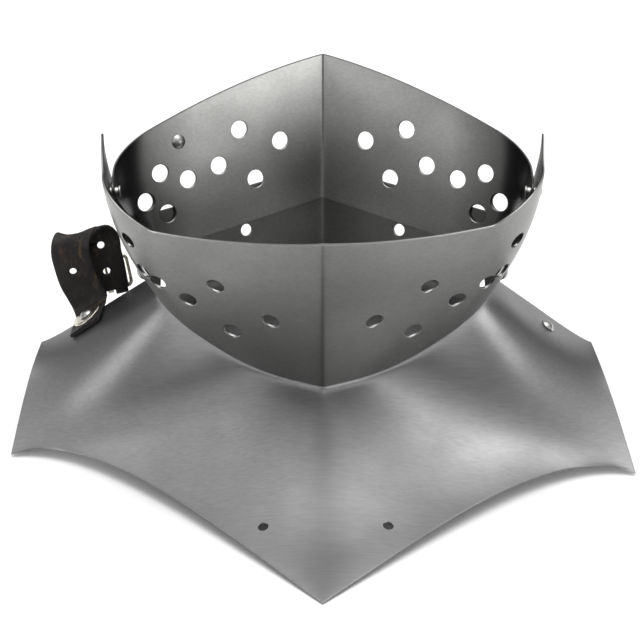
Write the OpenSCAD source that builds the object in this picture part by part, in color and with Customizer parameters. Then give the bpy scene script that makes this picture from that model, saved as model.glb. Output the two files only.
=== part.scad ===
/* [Sheet] */
// Thickness of the plates, 16 gauge steel
sheet_t = 1.5; // [1.2:0.1:1.8]
// Gap between two plates that lie on each other
lap_gap = 0.4; // [0.3:0.1:0.8]
// Gap between the face plate's ears and the rear plate that turns inside them
ear_gap = 1.2; // [1.2:0.1:1.6]

/* [Collar] */
// Half width of the collar at the ear tips
ear_half_w = 118.8; // [112:0.2:125]
// Height of the ear tips, where the side walls stand upright
ear_z = 178; // [172:1:184]
// Height of the face plate's rim at the crease
rim_z = 168; // [160:1:172]
// How far the front crease stands before the ears at rim height
front_d = 96; // [90:1:100]
// How far the rear crease stands behind the ears at rim height
rear_d = 108; // [104:1:112]
// Outward lean of both creases, in degrees
lean = 22; // [20:0.5:24]
// Angle that the front faces fall back from square, in degrees
front_fall = 22.8; // [20:0.2:25]
// Angle that the rear faces fall forward from square, in degrees
rear_fall = 30; // [28:0.5:32]
// How much higher the right rim stands than the left, per mm of width
rim_skew = 0.03; // [0:0.005:0.04]

/* [Bib] */
// How far the bib's point stands before the ears
tip_d = 180; // [170:1:190]
// Half width across the bib's lower corners
corner_half_w = 170; // [160:1:175]
// Half width across the bib's shoulder corners
shoulder_half_w = 152; // [145:1:156]
// Height of the shoulder corners
shoulder_z = 40; // [34:1:44]
// How far the lower corners stand before the ears
corner_d = 46; // [40:1:52]
// How much further forward the right side stands than the left, per mm of width
bib_skew = 0.055; // [0:0.005:0.06]

/* [Holes and rivets] */
// Diameter of a breath hole
breath_d = 9.8; // [8:0.1:11]
// Diameter of the bib's two lacing holes
lace_d = 5.2; // [4:0.1:6]
// Diameter of the rear collar's two holes
rear_hole_d = 6.6; // [5:0.1:7]
// Diameter of a rivet's shank
shank_d = 4; // [3:0.1:5]
// Diameter of a rivet's domed head
head_d = 8; // [6:0.1:9]

/* [Strap] */
// Width of the leather straps
strap_w = 21; // [16:0.5:22]
// Thickness of the leather
strap_t = 2.2; // [1.8:0.1:2.6]
// Diameter of the strap's washer
washer_d = 17.5; // [14:0.5:19]
// Diameter of the buckle's wire
wire_d = 2; // [1.6:0.1:2.4]

/* [Hidden] */

$fn = 48;

steel_colour = "#8f8f8d";
dark_steel_colour = "#7c7b78";
rivet_colour = "#b4b3ae";
leather_colour = "#2b2521";
nickel_colour = "#d8d0bd";

// ---- vectors ----
function unit(v) = v / norm(v);
function clamp(v, low, high) = min(max(v, low), high);
function mix(a, b, t) = a + (b - a) * t;

// ---- side wall of the collar: half width at a height, dished below the ears ----
dish = 0.0036;
dish_foot_z = 92;
foot_slope = 0.5;
function dished(z) = ear_half_w - dish * pow(ear_z - z, 2);
function half_w(z) =
  z >= dish_foot_z ? dished(z) : dished(dish_foot_z) - foot_slope * (dish_foot_z - z);

// ---- plan of a pointed collar at one height ----
// s runs from the crease (0) over a flat face, a round corner and a straight side (1).
// depth is measured outward from the ears' line: positive towards the crease.
s_face = 0.5;
s_corner = 0.8;
// Where the round corner meets the straight side; at the rear it stands further back low down.
function corner_depth(front, z) =
  front ? 14 - (rim_z - z) * 0.06 : mix(12, 16, clamp((132 - z) / 16, 0, 1));
function crease_depth(front, z, out) =
  (front ? front_d : rear_d) - (rim_z - z) * tan(lean) + out / cos(front ? front_fall : rear_fall);
function plan_point(front, s, z, out, end_depth) =
  let (fall = front ? front_fall : rear_fall)
  let (h = half_w(z) + out)
  let (crease = crease_depth(front, z, out))
  let (a = corner_depth(front, z))
  let (dep = crease - a)
  let (det = pow(cos(fall), 2) - sin(fall) * (1 - sin(fall)))
  let (len_face = (h * cos(fall) - (1 - sin(fall)) * dep) / det)
  let (r = (cos(fall) * dep - sin(fall) * h) / det)
  s <= s_face
    ? let (t = s / s_face * len_face) [t * cos(fall), crease - t * sin(fall)]
    : s <= s_corner
      ? let (ang = fall + (90 - fall) * (s - s_face) / (s_corner - s_face))
        [h - r + r * sin(ang), a + r * cos(ang)]
      : [h, mix(a, end_depth, (s - s_corner) / (1 - s_corner))];

// A point on a collar plate; s is negative on the left side.
function wall_point(front, s, z, out, end_depth) =
  let (q = plan_point(front, abs(s), z, out, end_depth))
  [s < 0 ? -q[0] : q[0], front ? -q[1] : q[1], z];

// ---- a closed sheet from a grid of points on its outer face ----
function grid_normal(g, i, j) =
  let (a = g[min(i + 1, len(g) - 1)][j] - g[max(i - 1, 0)][j])
  let (b = g[i][min(j + 1, len(g[0]) - 1)] - g[i][max(j - 1, 0)])
  unit(cross(a, b));
module sheet(g, thick) {
  nu = len(g);
  nv = len(g[0]);
  outer = [for (column = g) for (p = column) p];
  inner = [for (i = [0 : nu - 1]) for (j = [0 : nv - 1]) g[i][j] - thick * grid_normal(g, i, j)];
  far = nu * nv;
  // The rim as one loop of grid indices.
  loop = concat(
    [for (i = [0 : nu - 2]) i * nv],
    [for (j = [0 : nv - 2]) (nu - 1) * nv + j],
    [for (i = [nu - 1 : -1 : 1]) i * nv + nv - 1],
    [for (j = [nv - 1 : -1 : 1]) j]
  );
  n = len(loop);
  faces = concat(
    [for (i = [0 : nu - 2]) for (j = [0 : nv - 2]) for (half = [0, 1])
      let (a = i * nv + j, b = a + nv, c = b + 1, d = a + 1)
      half == 0 ? [a, c, b] : [a, d, c]],
    [for (i = [0 : nu - 2]) for (j = [0 : nv - 2]) for (half = [0, 1])
      let (a = far + i * nv + j, b = a + nv, c = b + 1, d = a + 1)
      half == 0 ? [a, b, c] : [a, c, d]],
    [for (k = [0 : n - 1]) for (half = [0, 1])
      let (p = loop[k], q = loop[(k + 1) % n])
      half == 0 ? [p, q, q + far] : [p, q + far, p + far]]
  );
  polyhedron(points = concat(outer, inner), faces = faces, convexity = 8);
}

// ---- placing round things on a plate ----
// Turns +Z to the direction n and moves the origin to p.
module stand_on(p, n) {
  translate(p)
    rotate([0, acos(clamp(n[2], -1, 1)), atan2(n[1], n[0])])
      children();
}
function wall_normal(front, s, z, out, end_depth) =
  let (e = 0.004)
  let (a = wall_point(front, s + e, z, out, end_depth) - wall_point(front, s - e, z, out, end_depth))
  let (b = wall_point(front, s, z + 1, out, end_depth) - wall_point(front, s, z - 1, out, end_depth))
  let (n = unit(cross(a, b)))
  front ? n : -n;
// The s at which a plate reaches the distance x from the middle, by halving.
function s_at(front, x, z, out, end_depth, low = 0, high = 0.8, left = 14) =
  left == 0 ? (low + high) / 2
    : let (middle = (low + high) / 2)
      plan_point(front, middle, z, out, end_depth)[0] < x
        ? s_at(front, x, z, out, end_depth, middle, high, left - 1)
        : s_at(front, x, z, out, end_depth, low, middle, left - 1);

drill_l = 12;
module drill(p, n, d, l = drill_l) {
  stand_on(p, n)
    translate([0, 0, -l / 2])
      cylinder(d = d, h = l);
}

// Breath holes as [distance from the middle, height], one side.
front_breaths = [
  [27.7, 97], [48.6, 82], [57, 116], [72, 100], [88.4, 108.5], [96.2, 113], [104, 134.5]
];
rear_breaths = [
  [24, 133], [46.3, 144.5], [37.4, 117], [57.3, 129], [74, 126.5], [89, 133.5], [97, 121], [85, 112]
];
module breath_drills(front, list, out, end_depth) {
  for (h = list) for (side = [-1, 1]) {
    s = side * s_at(front, h[0], h[1], out, end_depth);
    drill(wall_point(front, s, h[1], out, end_depth), wall_normal(front, s, h[1], out, end_depth), breath_d);
  }
}

// ---- fastener shapes, standing on +Z with the plate's face at z = 0 ----
head_h = 2.3;
shank_play = 0.05;
seat_gap = 0.05;
burr_d = 6.4;
burr_t = 1.1;
module dome(d, h) {
  r = (d * d / 4 + h * h) / (2 * h);
  rotate_extrude()
    intersection() {
      translate([0, h - r])
        circle(r = r, $fn = 96);
      square([d / 2, h]);
    }
}
// A domed rivet; grip is the stack of plates under its head.
module rivet(grip, tail) {
  translate([0, 0, seat_gap])
    dome(head_d, head_h);
  translate([0, 0, -grip - tail])
    cylinder(d = shank_d, h = grip + tail + seat_gap + head_h / 2);
}
module burr() {
  difference() {
    translate([0, 0, -burr_t])
      cylinder(d = burr_d, h = burr_t);
    translate([0, 0, -burr_t - 1])
      cylinder(d = shank_d + 2 * shank_play, h = burr_t + 2);
  }
}

// ---- face plate ----
wall_steps = 30;
wall_rows = 9;
function span(n, low, high) = [for (i = [0 : n]) mix(low, high, i / n)];
function face_foot(s) =
  min(51 + 41 * pow(plan_point(true, s, 80, 0, -10)[0] / 87, 3.2), 91);
function face_rim(s) =
  s <= s_face
    ? rim_z - 17 + 17 * pow(1 - s / s_face * 0.96, 2)
    : s <= s_corner
      ? rim_z - 17 + 14 * (1 - pow(1 - (s - s_face) / (s_corner - s_face), 1.8))
      : rim_z - 3 + 11 * pow((s - s_corner) / (1 - s_corner), 1.4);
function face_skew(s, z) =
  rim_skew * sign(s) * plan_point(true, abs(s), z, 0, -10)[0] * (1 - pow(abs(s), 4));
// The ears' rear edge leans back below the tip.
ear_tip_y = 8;
ear_foot_y = 14;
function ear_end(z) = -mix(ear_foot_y, ear_tip_y, clamp((z - 142) / 30, 0, 1));
function face_grid_point(s, v) =
  let (low = face_foot(abs(s)), high = face_rim(abs(s)) + face_skew(s, rim_z))
  let (z = mix(low, high, v))
  wall_point(true, s, z, 0, ear_end(z));
module face_plate() {
  color(steel_colour)
    difference() {
      sheet([for (s = span(2 * wall_steps, -1, 1)) [for (v = span(wall_rows, 0, 1)) face_grid_point(s, v)]], sheet_t);
      breath_drills(true, front_breaths, 0, -10);
      side_rivet_drills();
      ear_drills();
    }
}

// ---- rear upper plate ----
// Its outer face lies inside the ears; its top front corners are round about the pivots.
pivot_y = -2;
pivot_z = 146;
end_r = 5.5;
rear_out = -sheet_t - ear_gap;
rear_edge_y = 14;
function rear_end(z) =
  z > pivot_z
    ? pivot_y - sqrt(max(pow(end_r, 2) - pow(z - pivot_z, 2), 0))
    : mix(rear_edge_y, pivot_y - end_r, clamp((z - 116) / (pivot_z - 116), 0, 1));
function rear_foot(s) = 97.4 - 0.04 * plan_point(false, s, 97, rear_out, 0)[0];
function rear_rim(s) =
  let (x = plan_point(false, s, 160, rear_out, 0)[0])
  let (at_end = clamp((s - s_corner) / (1 - s_corner), 0, 1))
  mix(171.5 - 0.0016 * x * x, pivot_z + end_r - 0.02, at_end);
function rear_grid_point(s, v) =
  let (z = mix(rear_foot(abs(s)), rear_rim(abs(s)), v))
  wall_point(false, s, z, rear_out, rear_end(z));
module rear_upper_plate() {
  color(steel_colour)
    difference() {
      sheet([for (s = span(2 * wall_steps, 1, -1)) [for (v = span(wall_rows + 3, 0, 1)) rear_grid_point(s, v)]], sheet_t);
      breath_drills(false, rear_breaths, rear_out, 0);
      ear_drills();
      rear_joint_drills();
      drill(rear_stud_p, rear_stud_n, shank_d + 2 * shank_play);
    }
}

// ---- rear collar plate: a low collar outside the rear plate, with a skirt behind the shoulders ----
collar_out = rear_out + lap_gap + sheet_t;
collar_top_z = 113.5;
collar_bend_z = 68;
collar_end_s = 0.75;
rear_corner_s = 0.45;
rear_tip_y = 138;
rear_corner = [92, 102];
rear_side = [99, 40, 38];
function curve(a, b, c, d, t) =
  pow(1 - t, 3) * a + 3 * pow(1 - t, 2) * t * b + 3 * (1 - t) * t * t * c + pow(t, 3) * d;
function skirt_edge(s) =
  s <= rear_corner_s
    ? let (t = s / rear_corner_s)
      [
        curve(0, 0.4, 0.8, 1, t) * rear_corner[0],
        rear_tip_y - curve(0, 0.6, 1.05, 1, t) * (rear_tip_y - rear_corner[1]),
        0
      ]
    : let (t = (s - rear_corner_s) / (collar_end_s - rear_corner_s))
      [mix(rear_corner[0], rear_side[0], t), mix(rear_corner[1], rear_side[1], t), rear_side[2] * t];
// The skirt leaves the collar steeply and flattens towards its edge.
function ease(v, k) = 1 - pow(1 - v, k);
skirt_ease = 1.3;
function skirt_point(s, v) =
  let (b = wall_point(false, s, collar_bend_z, collar_out, 0), e = skirt_edge(abs(s)))
  [mix(b[0], s < 0 ? -e[0] : e[0], v), mix(b[1], e[1], v), mix(b[2], e[2], ease(v, skirt_ease))];
collar_rows = 5;
skirt_rows = 6;
function collar_column(s) = concat(
  [for (v = span(skirt_rows, 1, 0)) skirt_point(s, v)],
  [for (v = span(collar_rows, 0, 1)) if (v > 0)
    wall_point(false, s, mix(collar_bend_z, collar_top_z, v), collar_out, 0)]
);
rear_holes = [42.5, 91];
module rear_collar_plate() {
  color(dark_steel_colour)
    difference() {
      sheet([for (s = span(2 * wall_steps, collar_end_s, -collar_end_s)) collar_column(s)], sheet_t);
      for (side = [-1, 1]) {
        s = side * s_at(false, rear_holes[0], rear_holes[1], collar_out, 0);
        drill(wall_point(false, s, rear_holes[1], collar_out, 0),
          wall_normal(false, s, rear_holes[1], collar_out, 0), rear_hole_d);
      }
      rear_joint_drills();
      drill(billet_p, billet_n, shank_d + 2 * shank_play);
    }
}

// ---- front bib: a collar inside the face plate, spreading into a pointed bib ----
bib_out = -sheet_t - lap_gap;
bib_collar_h = 20;
bib_foot_drop = 2.5;
bib_end_y = 12;
shoulder_y = 16;
shoulder_shift = 3.5;
corner_s = 0.45;

arch_z = 8;
bib_ease = 1.3;
function bib_bend_z(s) = face_foot(s) - bib_foot_drop;
function bib_edge(s) =
  s <= corner_s
    ? let (t = s / corner_s)
      [
        curve(0, 0.47, 0.765, 1, t) * corner_half_w,
        -tip_d + curve(0, 0.657, 1.082, 1, t) * (tip_d - corner_d),
        arch_z * sin(180 * t)
      ]
    : let (t = (s - corner_s) / (1 - corner_s))
      [
        mix(corner_half_w, shoulder_half_w, t),
        mix(-corner_d, shoulder_y, t),
        shoulder_z * (t + 0.08 * sin(180 * t))
      ];
// The shoulders roll over towards the back.
over_s = 0.8;
over_back = 17;
over_drop = 10;
over_crown = 3.4;
function shoulder_over(s, v) =
  let (t = clamp((abs(s) - over_s) / (1 - over_s), 0, 1))
  t * t * ((1 - pow(1 - v, 3)) * [0, over_back, -over_drop] + [0, 0, over_crown * sin(180 * v)]);
function bib_point(s, v) =
  let (b = wall_point(true, s, bib_bend_z(abs(s)), bib_out, -bib_end_y), e = bib_edge(abs(s)))
  let (past = clamp((abs(s) - corner_s) / (1 - corner_s), 0, 1))
  let (x = mix(b[0], (s < 0 ? -e[0] : e[0]) - shoulder_shift * past, v))
  let (skew = bib_skew * x * v * (1 - past * past))
  [x, mix(b[1], e[1], v) - skew, mix(b[2], e[2], ease(v, bib_ease))] + shoulder_over(s, v);
bib_steps = 40;
bib_rows = 10;
bib_collar_rows = 3;
function bib_column(s) = concat(
  [for (v = span(bib_rows, 1, 0)) bib_point(s, v)],
  [for (v = span(bib_collar_rows, 0, 1)) if (v > 0)
    wall_point(true, s, bib_bend_z(abs(s)) + bib_collar_h * v, bib_out, -bib_end_y)]
);
function bib_normal(s, v) =
  let (e = 0.01)
  let (a = bib_point(s + e, v) - bib_point(s - e, v), b = bib_point(s, v - e) - bib_point(s, v + e))
  unit(cross(a, b));
lace_s = 0.077;
lace_shift = 0.004;
lace_v = 0.82;
module front_bib() {
  color(steel_colour)
    difference() {
      sheet([for (s = span(2 * bib_steps, -1, 1)) bib_column(s)], sheet_t);
      for (side = [-1, 1])
        drill(bib_point(side * lace_s + lace_shift, lace_v), bib_normal(side * lace_s + lace_shift, lace_v), lace_d);
      side_rivet_drills();
      drill(shoulder_p, shoulder_n, shank_d + 2 * shank_play);
      drill(strap_p, strap_n, shank_d + 2 * shank_play);
    }
}

// ---- ear pivots: the rear half turns on them, about one line across the collar ----
ear_shank_d = 5;
pivot_play = 0.05;
ear_x = half_w(pivot_z);
rear_ear_x = ear_x + rear_out;
ear_tilt = atan(2 * dish * (ear_z - pivot_z));
module ear_drills() {
  translate([0, pivot_y, pivot_z])
    rotate([0, 90, 0])
      cylinder(d = ear_shank_d + 2 * pivot_play, h = 300, center = true);
}
ear_tail = 1.3;
ear_foot_gap = 1.1;
ear_foot_d = 6.6;
module ear_pivot() {
  inner_x = rear_ear_x - sheet_t - ear_foot_gap;
  rotate([0, 90, 0])
    translate([0, 0, inner_x - ear_tail]) {
      cylinder(d = ear_foot_d, h = ear_tail);
      cylinder(d = ear_shank_d, h = ear_x - inner_x + ear_tail + 1);
    }
}
module ear_pivot_right() {
  color(rivet_colour)
    translate([0, pivot_y, pivot_z]) {
      ear_pivot();
      translate([ear_x + seat_gap, 0, 0])
        rotate([0, 90 + ear_tilt, 0])
          dome(head_d + 1, head_h + 0.4);
    }
}
// The left pivot is set flush: its head is a thin disc.
flush_head_t = 0.8;
module ear_pivot_left() {
  color(rivet_colour)
    translate([0, pivot_y, pivot_z])
      mirror([1, 0, 0]) {
        ear_pivot();
        translate([ear_x + seat_gap, 0, 0])
          rotate([0, 90 + ear_tilt, 0])
            dome(head_d, flush_head_t);
      }
}

// ---- side rivets: the face plate on the bib's collar ----
side_rivet_y = -14;
side_rivet_z = 101;
function side_rivet_p(side) = [side * half_w(side_rivet_z), side_rivet_y + 2, side_rivet_z];
side_rivet_tilt = 2 * dish * (ear_z - side_rivet_z);
function side_rivet_n(side) = unit([side, 0, -side_rivet_tilt]);
module side_rivet_drills() {
  for (side = [-1, 1])
    drill(side_rivet_p(side), side_rivet_n(side), shank_d + 2 * shank_play);
}
lap_grip = 2 * sheet_t + lap_gap;
burr_gap = 0.25;
tail_l = burr_t + burr_gap + 0.4;
module side_rivets() {
  color(rivet_colour)
    for (side = [-1, 1])
      stand_on(side_rivet_p(side), side_rivet_n(side))
        rivet(lap_grip, tail_l);
}
module side_burrs() {
  color(rivet_colour)
    for (side = [-1, 1])
      stand_on(side_rivet_p(side) - side_rivet_n(side) * (lap_grip + burr_gap), side_rivet_n(side))
        burr();
}

// ---- rear joint rivets: the rear plate on the rear collar ----
rear_joint_s = 0.7;
rear_joint_z = 105;
function rear_joint_p(side) = wall_point(false, side * rear_joint_s, rear_joint_z, collar_out, 0);
function rear_joint_n(side) = wall_normal(false, side * rear_joint_s, rear_joint_z, collar_out, 0);
module rear_joint_drills() {
  for (side = [-1, 1])
    drill(rear_joint_p(side), rear_joint_n(side), shank_d + 2 * shank_play);
}
module rear_joint_rivets() {
  color(rivet_colour)
    for (side = [-1, 1])
      stand_on(rear_joint_p(side), rear_joint_n(side))
        rivet(lap_grip, tail_l);
}
module rear_joint_burrs() {
  color(rivet_colour)
    for (side = [-1, 1])
      stand_on(rear_joint_p(side) - rear_joint_n(side) * (lap_grip + burr_gap), rear_joint_n(side))
        burr();
}

// ---- rear stud, on the left of the rear plate: its round end shows inside ----
rear_stud_x = 78.6;
rear_stud_z = 147;
rear_stud_s = -s_at(false, rear_stud_x, rear_stud_z, rear_out - sheet_t, 0);
rear_stud_p = wall_point(false, rear_stud_s, rear_stud_z, rear_out, 0);
rear_stud_n = wall_normal(false, rear_stud_s, rear_stud_z, rear_out, 0);
module rear_stud() {
  color(rivet_colour)
    stand_on(rear_stud_p - rear_stud_n * sheet_t, -rear_stud_n)
      rivet(sheet_t, tail_l);
}
module rear_stud_burr() {
  color(rivet_colour)
    stand_on(rear_stud_p + rear_stud_n * burr_gap, -rear_stud_n)
      burr();
}

// ---- shoulder rivet on the right of the bib ----
shoulder_s = 0.94;
shoulder_v = 0.56;
shoulder_p = bib_point(shoulder_s, shoulder_v);
shoulder_n = bib_normal(shoulder_s, shoulder_v);
module shoulder_rivet() {
  color(rivet_colour)
    stand_on(shoulder_p, shoulder_n)
      rivet(sheet_t, tail_l);
}
module shoulder_burr() {
  color(rivet_colour)
    stand_on(shoulder_p - shoulder_n * (sheet_t + burr_gap), shoulder_n)
      burr();
}

// ---- buckle strap on the left shoulder ----
strap_s = -0.975;
strap_v = 0.58;
strap_p = bib_point(strap_s, strap_v);
strap_n = bib_normal(strap_s, strap_v);
// Along the shoulder's edge, from the neck outward, and back across it.
strap_across = unit(bib_point(strap_s, strap_v + 0.05) - bib_point(strap_s, strap_v - 0.05));
strap_back = unit(cross(strap_across, strap_n));
strap_gap = 0.3;
punch_d = 4;
punch_l = 8;
strap_lift = strap_gap + strap_t / 2;
// The buckle's bar: its middle and direction, and the way the frame stands.
bar_p = strap_p + [10.5, 26, 3.5];
bar_dir = unit([0.95, 0.2, 0.15]);
frame_lean = [-0.27, 0.3, 0.915];
frame_up = unit(frame_lean - (frame_lean * bar_dir) * bar_dir);
// Square to the frame, on the strap's side of it.
bar_out = cross(bar_dir, frame_up);
loop_gap = 0.35;
loop_r = wire_d / 2 + loop_gap + strap_t / 2;
// The strap's middle line: flat on the plate, up and over as offsets from its rivet, down to the bar.
strap_front = 11;
strap_flat = [-strap_front, -3, 4, 7.5];
strap_bends = [
  [-0.2, 10.8, 2.4], [-1.4, 12.6, 5.4], [-3.5, 13.5, 9.5], [-7, 14.5, 17], [-9.5, 15.5, 25.5],
  [-11, 16.5, 32.5], [-10.5, 18, 37], [-8.5, 21, 39.5], [-5.5, 25.5, 39], [-2.5, 29.5, 35]
];
strap_fall = [29, 22, 15, 8, 0];
function fall_point(l) = bar_p + bar_out * loop_r + frame_up * l;
strap_line = concat(
  [for (k = strap_flat) strap_p + strap_n * strap_lift + strap_back * k],
  [for (q = strap_bends) strap_p + q],
  [for (l = strap_fall) fall_point(l)]
);
upright_across = unit([0.94, 0.1, 0.32]);
strap_n_points = len(strap_line);
strap_turn = len(strap_flat) - 1;
function strap_side(k) =
  k <= strap_turn ? -strap_across
    : k <= strap_turn + 4 ? unit(mix(-strap_across, upright_across, (k - strap_turn) / 4))
      : unit(mix(upright_across, bar_dir, (k - strap_turn - 4) / (strap_n_points - strap_turn - 5)));
// A band of leather along a line; side(k) points across it.
module band(line, sides, width, thick) {
  n = len(line);
  points = [for (k = [0 : n - 1])
    let (along = line[min(k + 1, n - 1)] - line[max(k - 1, 0)])
    let (w = sides[k])
    let (m = unit(cross(along, w)))
    for (c = [[-1, -1], [1, -1], [1, 1], [-1, 1]])
      line[k] + w * c[0] * width / 2 + m * c[1] * thick / 2];
  faces = concat(
    [[0, 1, 2], [0, 2, 3]],
    [for (k = [0 : n - 2]) for (e = [0 : 3]) for (half = [0, 1])
      let (a = 4 * k + e, b = 4 * k + (e + 1) % 4)
      half == 0 ? [a, b + 4, b] : [a, a + 4, b + 4]],
    [[4 * n - 4, 4 * n - 2, 4 * n - 3], [4 * n - 4, 4 * n - 1, 4 * n - 2]]
  );
  polyhedron(points = points, faces = faces, convexity = 8);
}
module buckle_strap() {
  color(leather_colour)
    difference() {
      union() {
        band(strap_line, [for (k = [0 : strap_n_points - 1]) strap_side(k)], strap_w, strap_t);
        at_bar()
          strap_loops();
      }
      at_bar()
        cube([prong_slot, 12, 12], center = true);
      drill(strap_p, strap_n, shank_d + 2 * shank_play);
      drill(strap_p + strap_bends[4] - [0, 0, 4], cross(strap_bends[5] - strap_bends[3], upright_across),
        punch_d, punch_l);
      for (l = [11, 26])
        drill(fall_point(l), bar_out, punch_d, punch_l);
    }
}
washer_t = 1;
strap_stack = strap_gap + strap_t;
module strap_washer() {
  color(nickel_colour)
    stand_on(strap_p + strap_n * (strap_stack + seat_gap), strap_n)
      difference() {
        cylinder(d = washer_d, h = washer_t);
        translate([0, 0, -1])
          cylinder(d = shank_d + 2 * shank_play, h = washer_t + 2);
      }
}
module strap_rivet() {
  color(rivet_colour)
    stand_on(strap_p + strap_n * (strap_stack + washer_t + seat_gap), strap_n)
      rivet(sheet_t + strap_stack + washer_t + seat_gap, tail_l);
}
module strap_burr() {
  color(rivet_colour)
    stand_on(strap_p - strap_n * (sheet_t + burr_gap), strap_n)
      burr();
}

// ---- buckle: a wire frame that swings on its bar, and a prong on the same bar ----
frame_w = 24.6;
frame_h = 17;
frame_r = 2.6;
// Turns X to the bar, Y to the frame's upward direction and Z square to the frame.
module at_bar() {
  m = [bar_dir, frame_up, bar_out];
  multmatrix([
    [m[0][0], m[1][0], m[2][0], bar_p[0]],
    [m[0][1], m[1][1], m[2][1], bar_p[1]],
    [m[0][2], m[1][2], m[2][2], bar_p[2]],
    [0, 0, 0, 1]
  ])
    children();
}
module wire_run(x, y, turn, len) {
  translate([x, y, 0])
    rotate([0, 0, turn])
      rotate([0, 90, 0])
        cylinder(d = wire_d, h = len);
}
module wire_bend(x, y, turn) {
  translate([x, y, 0])
    rotate([0, 0, turn])
      rotate_extrude(angle = 90)
        translate([frame_r, 0])
          circle(d = wire_d, $fn = 24);
}
module buckle_frame() {
  half = frame_w / 2;
  color(nickel_colour)
    at_bar() {
      wire_run(frame_r - half, 0, 0, frame_w - 2 * frame_r);
      wire_run(frame_r - half, frame_h, 0, frame_w - 2 * frame_r);
      wire_run(-half, frame_r, 90, frame_h - 2 * frame_r);
      wire_run(half, frame_r, 90, frame_h - 2 * frame_r);
      wire_bend(half - frame_r, frame_h - frame_r, 0);
      wire_bend(frame_r - half, frame_h - frame_r, 90);
      wire_bend(frame_r - half, frame_r, 180);
      wire_bend(half - frame_r, frame_r, 270);
    }
}
prong_d = 1.8;
prong_play = 0.08;
prong_w = 3;
prong_lift = wire_d / 2 + prong_d / 2 + 0.3;
prong_slot = prong_w + 2.4;
module prong_eye() {
  rotate([0, 90, 0])
    difference() {
      cylinder(d = wire_d + 2 * prong_play + 2 * 1.1, h = prong_w, center = true);
      cylinder(d = wire_d + 2 * prong_play, h = prong_w + 2, center = true);
    }
}
module buckle_prong() {
  color(nickel_colour)
    at_bar()
      mirror([0, 0, 1]) {
        prong_eye();
        translate([0, wire_d / 2 + prong_play + 0.5, prong_lift])
          rotate([-90, 0, 0])
            cylinder(d = prong_d, h = frame_h - 0.6);
      }
}
// The strap's end goes round the bar in two loops, one each side of the prong.
module strap_loops() {
  span_w = min(strap_w, frame_w - 2 * frame_r - 0.6);
  loop_w = (span_w - prong_slot) / 2;
  for (side = [-1, 1])
    translate([side * (span_w - loop_w) / 2, 0, 0])
      rotate([0, 90, 0])
        difference() {
          cylinder(r = loop_r + strap_t / 2, h = loop_w, center = true);
          cylinder(d = wire_d + 2 * loop_gap, h = loop_w + 2, center = true);
        }
}

// ---- billet strap, on the left of the rear collar: it hangs along the collar ----
billet_s = 0.66;
billet_z = 88;
billet_end_s = 0.36;
billet_end_z = 80;
billet_steps = 8;
billet_gap = 0.6;
billet_lift = billet_gap + strap_t / 2;
billet_p = wall_point(false, -billet_s, billet_z, collar_out, 0);
billet_n = wall_normal(false, -billet_s, billet_z, collar_out, 0);
billet_width = 16;
function billet_middle(t) =
  wall_point(false, -mix(billet_s + 0.05, billet_end_s, t), mix(billet_z + 1.5, billet_end_z, t),
    collar_out + billet_lift, 0);
function billet_side(t) =
  let (s = -mix(billet_s + 0.05, billet_end_s, t), z = mix(billet_z + 1.5, billet_end_z, t))
  unit(wall_point(false, s, z + 1, collar_out, 0) - wall_point(false, s, z - 1, collar_out, 0));
module billet_strap() {
  steps = span(billet_steps, 0, 1);
  color(leather_colour)
    difference() {
      band([for (t = steps) billet_middle(t)], [for (t = steps) billet_side(t)], billet_width, strap_t);
      drill(billet_p, billet_n, shank_d + 2 * shank_play);
    }
}
billet_seat = billet_gap + strap_t + seat_gap;
// The plate is round here, so the burr stands further off it.
billet_burr_gap = 0.6;
small_washer_d = 11;
module billet_washer() {
  color(nickel_colour)
    stand_on(billet_p + billet_n * billet_seat, billet_n)
      difference() {
        cylinder(d = small_washer_d, h = washer_t);
        translate([0, 0, -1])
          cylinder(d = shank_d + 2 * shank_play, h = washer_t + 2);
      }
}
module billet_rivet() {
  color(rivet_colour)
    stand_on(billet_p + billet_n * (billet_seat + washer_t + seat_gap), billet_n)
      rivet(sheet_t + billet_seat + washer_t + seat_gap + billet_burr_gap - burr_gap, tail_l);
}
module billet_burr() {
  color(rivet_colour)
    stand_on(billet_p - billet_n * (sheet_t + billet_burr_gap), billet_n)
      burr();
}

// Puts the middle of the part's box over the origin, with its lowest points on the table.
foot_lift = 1.476;
module placed() {
  translate([0, (tip_d - rear_tip_y) / 2, foot_lift])
    children();
}

placed() front_bib();
placed() face_plate();
placed() rear_upper_plate();
placed() rear_collar_plate();
placed() ear_pivot_right();
placed() ear_pivot_left();
placed() side_rivets();
placed() side_burrs();
placed() rear_joint_rivets();
placed() rear_joint_burrs();
placed() rear_stud();
placed() rear_stud_burr();
placed() shoulder_rivet();
placed() shoulder_burr();
placed() buckle_strap();
placed() strap_rivet();
placed() strap_washer();
placed() strap_burr();
placed() buckle_frame();
placed() buckle_prong();
placed() billet_strap();
placed() billet_rivet();
placed() billet_washer();
placed() billet_burr();
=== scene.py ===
import math

import bmesh
import bpy
import numpy as np
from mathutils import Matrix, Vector, bvhtree, interpolate, noise


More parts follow.
